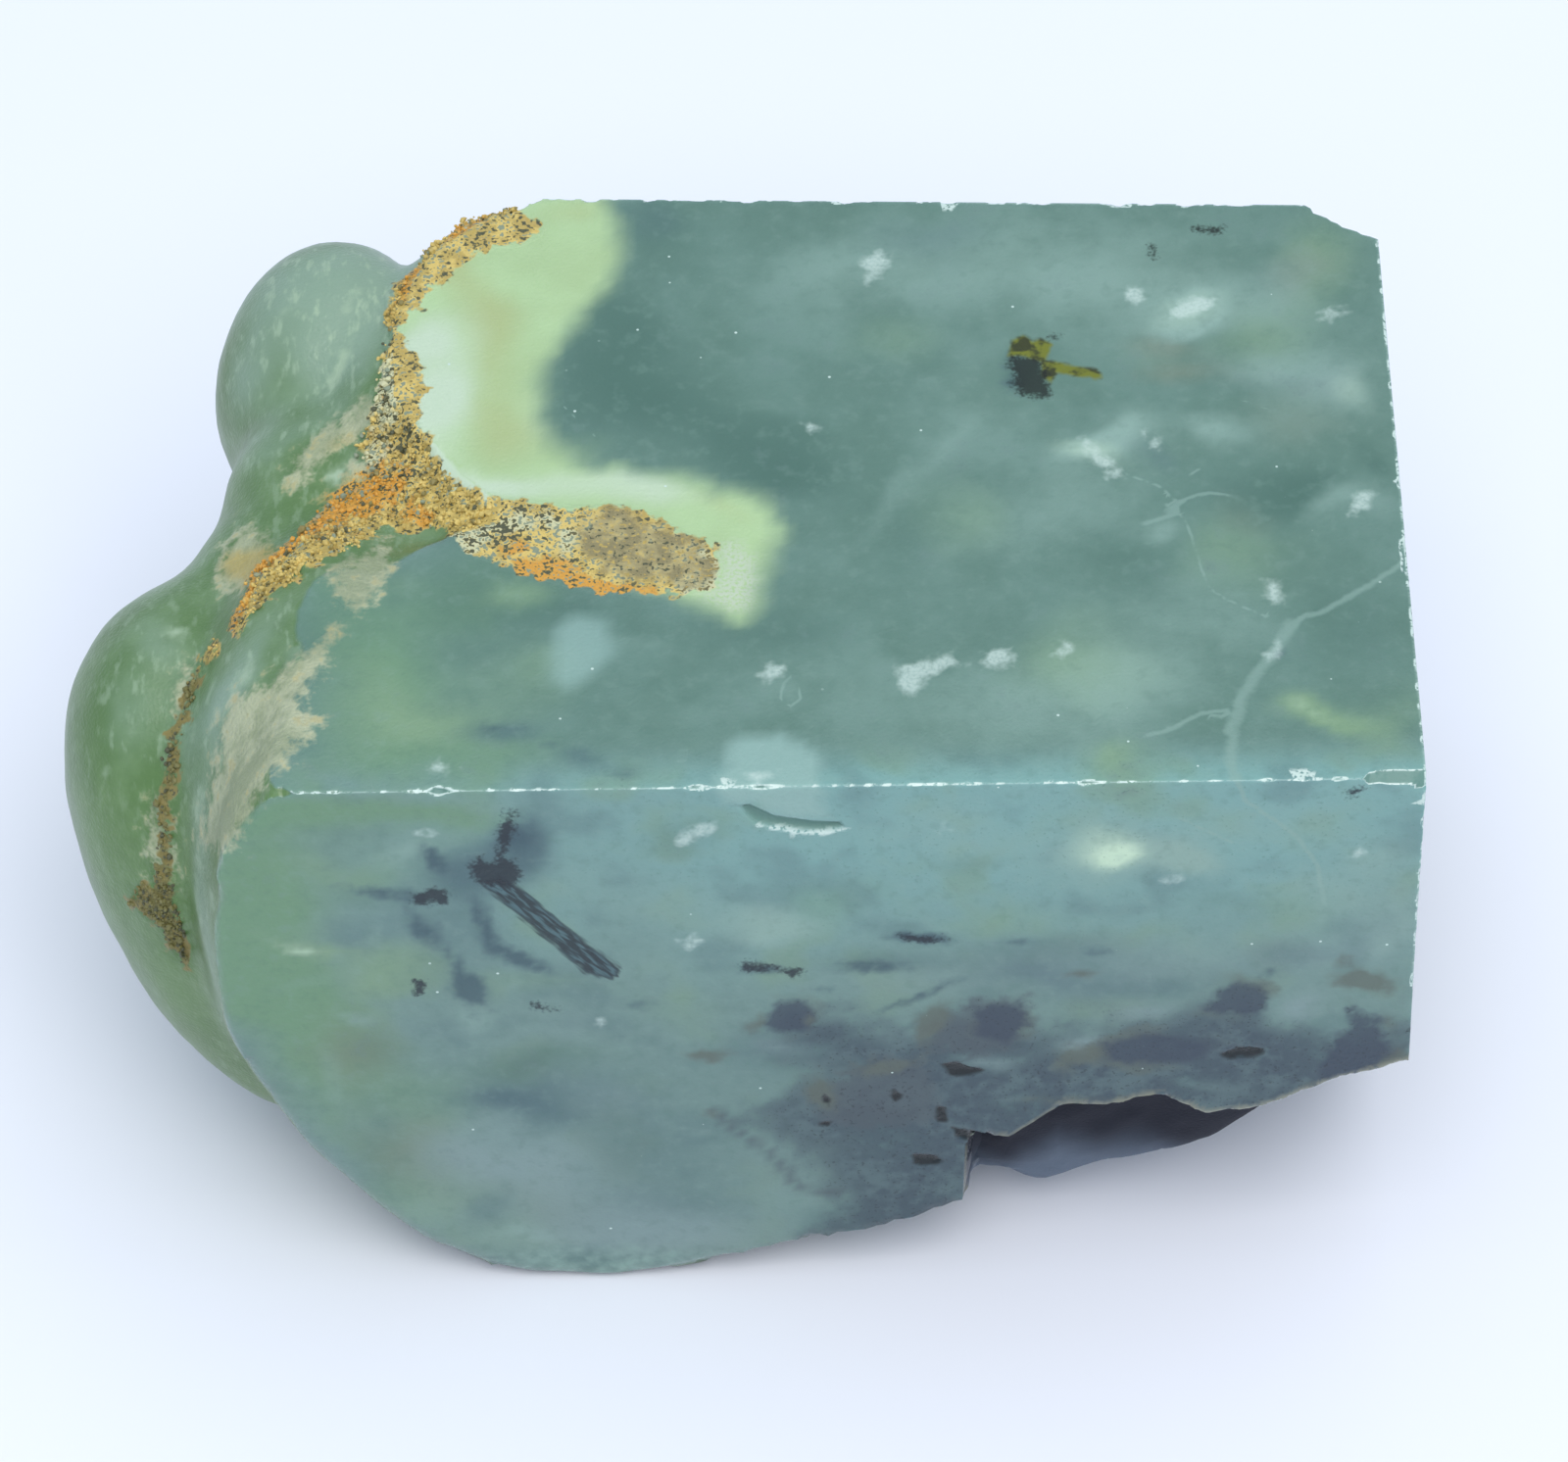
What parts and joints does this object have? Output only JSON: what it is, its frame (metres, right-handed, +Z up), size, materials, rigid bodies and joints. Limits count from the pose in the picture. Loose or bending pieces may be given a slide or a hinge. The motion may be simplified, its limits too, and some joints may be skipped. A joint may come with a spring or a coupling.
{
  "type": "raw prehnite",
  "caption": "Raw prehnite chunk, sawn flat on four faces, with round botryoidal lobes on the left, iron-stained crust in its seams and a broken underside.",
  "frame": {"origin": "under the middle of the stone, on the surface that it lies on", "axes": "+Z up, square to the sawn top; +X along the sawn front edge, away from the natural lobes; +Y from the sawn front to the sawn back"},
  "size_m": [0.0638, 0.0386, 0.036],
  "materials": {
    "prehnite": "milky translucent grey-green stone, sawn faces wet and glossy, natural skin satin, ochre crust in the seams"
  },
  "bodies": {
    "root": {"prehnite": "prehnite"}
  },
  "joints": []
}
